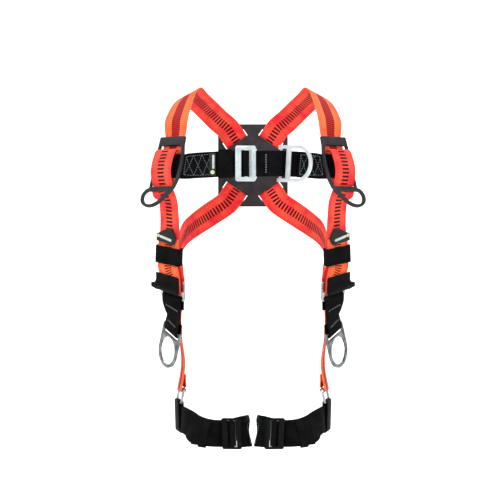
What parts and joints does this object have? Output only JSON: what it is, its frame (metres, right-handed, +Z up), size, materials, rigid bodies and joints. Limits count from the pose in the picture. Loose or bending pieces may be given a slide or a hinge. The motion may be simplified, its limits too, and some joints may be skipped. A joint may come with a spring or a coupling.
{
  "type": "full-body safety harness",
  "caption": "Full-body fall-arrest harness of webbing straps in worn shape, with dorsal, chest and side D-rings, adjusters, buckled chest strap and leg loops.",
  "frame": {"origin": "midway between the two places where the shoulder straps rest on the wearer's shoulders", "axes": "+Z up along the wearer's body, +Y towards the wearer's back, +X towards the wearer's left"},
  "size_m": [0.3976, 0.3688, 0.6551],
  "materials": {
    "orange_webbing": "woven polyester webbing, orange with a dark red middle band",
    "red_webbing": "woven polyester webbing, bright red face with black dashes",
    "black_webbing": "woven polyester webbing, black",
    "elastic": "ribbed elastic, black",
    "charcoal_plastic": "moulded, fine grain",
    "label_plastic": "moulded, satin",
    "zinc": "bright zinc plate",
    "steel": "polished steel"
  },
  "bodies": {
    "harness": {"shoulder_strap_right": "orange_webbing", "shoulder_strap_left": "orange_webbing", "front_strap_right": "red_webbing", "front_strap_left": "red_webbing", "side_connector_right": "black_webbing", "side_connector_left": "black_webbing", "lanyard_keeper_right": "charcoal_plastic", "lanyard_keeper_left": "charcoal_plastic", "strap_end_tab_right": "label_plastic", "strap_end_tab_left": "label_plastic", "adjuster_frame_right": "steel", "adjuster_frame_left": "steel", "hip_ring_right": "steel", "hip_ring_left": "steel", "chest_strap_right": "black_webbing", "chest_strap_left": "black_webbing", "chest_strap_centre": "black_webbing", "chest_buckle_link": "zinc", "chest_tag": "label_plastic", "dorsal_plate": "charcoal_plastic"},
    "dorsal_ring": {"dorsal_ring": "steel"},
    "chest_ring": {"chest_ring": "zinc"},
    "chest_buckle_plate": {"chest_buckle_plate": "zinc"},
    "chest_sleeve": {"chest_sleeve": "elastic"},
    "side_ring_right": {"side_ring_right": "steel"},
    "adjuster_grip_right": {"adjuster_grip_right": "charcoal_plastic"},
    "elastic_keeper_right": {"elastic_keeper_right": "elastic"},
    "leg_buckle_plate_right": {"leg_buckle_plate_right": "charcoal_plastic"},
    "leg_keeper_right": {"leg_keeper_right": "elastic"},
    "leg_loop_right": {"hip_loop_right": "black_webbing", "leg_strap_right": "black_webbing", "leg_buckle_link_right": "zinc"},
    "side_ring_left": {"side_ring_left": "steel"},
    "adjuster_grip_left": {"adjuster_grip_left": "charcoal_plastic"},
    "elastic_keeper_left": {"elastic_keeper_left": "elastic"},
    "leg_buckle_plate_left": {"leg_buckle_plate_left": "charcoal_plastic"},
    "leg_keeper_left": {"leg_keeper_left": "elastic"},
    "leg_loop_left": {"hip_loop_left": "black_webbing", "leg_strap_left": "black_webbing", "leg_buckle_link_left": "zinc"}
  },
  "joints": [
    {"name": "dorsal_ring_swing", "type": "hinge", "parent": "harness", "child": "dorsal_ring", "pos_m": [0, 0.1263, -0.125], "axis": [1, 0, 0], "range_deg": [0, 100]},
    {"name": "chest_ring_swing", "type": "hinge", "parent": "harness", "child": "chest_ring", "pos_m": [0.048, -0.1295, -0.1345], "axis": [0.0499, 0, 0.9988], "range_deg": [-100, 33]},
    {"name": "chest_buckle_tilt", "type": "hinge", "parent": "harness", "child": "chest_buckle_plate", "pos_m": [-0.0122, -0.132, -0.1345], "axis": [0, 0, 1], "range_deg": [-3, 1]},
    {"name": "chest_sleeve_slide", "type": "slide", "parent": "harness", "child": "chest_sleeve", "axis": [1, 0, 0], "range_m": [-0.003, 0.003]},
    {"name": "side_ring_swing_right", "type": "hinge", "parent": "harness", "child": "side_ring_right", "pos_m": [-0.145, -0.042, -0.43], "axis": [-0.5071, 0.7701, 0.3871], "range_deg": [0, 130]},
    {"name": "adjuster_grip_slide_right", "type": "slide", "parent": "harness", "child": "adjuster_grip_right", "axis": [-0.003, -0.3426, 0.9395], "range_m": [0, 0.004]},
    {"name": "elastic_keeper_slide_right", "type": "slide", "parent": "harness", "child": "elastic_keeper_right", "axis": [0.0459, -0.2507, 0.967], "range_m": [-0.002, 0.001]},
    {"name": "leg_loop_swing_right", "type": "hinge", "parent": "harness", "child": "leg_loop_right", "pos_m": [-0.1347, 0.0048, -0.5613], "axis": [-0.1903, 0.9817, 0], "range_deg": [0, 40]},
    {"name": "leg_buckle_tilt_right", "type": "hinge", "parent": "leg_loop_right", "child": "leg_buckle_plate_right", "pos_m": [-0.037, -0.091, -0.609], "axis": [-0.0419, 0.2428, 0.9692], "range_deg": [-3, 1]},
    {"name": "leg_keeper_slide_right", "type": "slide", "parent": "leg_loop_right", "child": "leg_keeper_right", "axis": [0.9397, -0.3299, -0.09], "range_m": [0, 0.001]},
    {"name": "side_ring_swing_left", "type": "hinge", "parent": "harness", "child": "side_ring_left", "pos_m": [0.145, -0.042, -0.43], "axis": [-0.5071, -0.7701, -0.3871], "range_deg": [0, 130]},
    {"name": "adjuster_grip_slide_left", "type": "slide", "parent": "harness", "child": "adjuster_grip_left", "axis": [0.003, -0.3426, 0.9395], "range_m": [0, 0.004]},
    {"name": "elastic_keeper_slide_left", "type": "slide", "parent": "harness", "child": "elastic_keeper_left", "axis": [-0.0459, -0.2507, 0.967], "range_m": [-0.002, 0.001]},
    {"name": "leg_loop_swing_left", "type": "hinge", "parent": "harness", "child": "leg_loop_left", "pos_m": [0.1347, 0.0048, -0.5613], "axis": [-0.1903, -0.9817, 0], "range_deg": [0, 40]},
    {"name": "leg_buckle_tilt_left", "type": "hinge", "parent": "leg_loop_left", "child": "leg_buckle_plate_left", "pos_m": [0.037, -0.091, -0.609], "axis": [-0.0419, -0.2428, -0.9692], "range_deg": [-3, 1]},
    {"name": "leg_keeper_slide_left", "type": "slide", "parent": "leg_loop_left", "child": "leg_keeper_left", "axis": [-0.9397, -0.3299, -0.09], "range_m": [0, 0.001]}
  ]
}
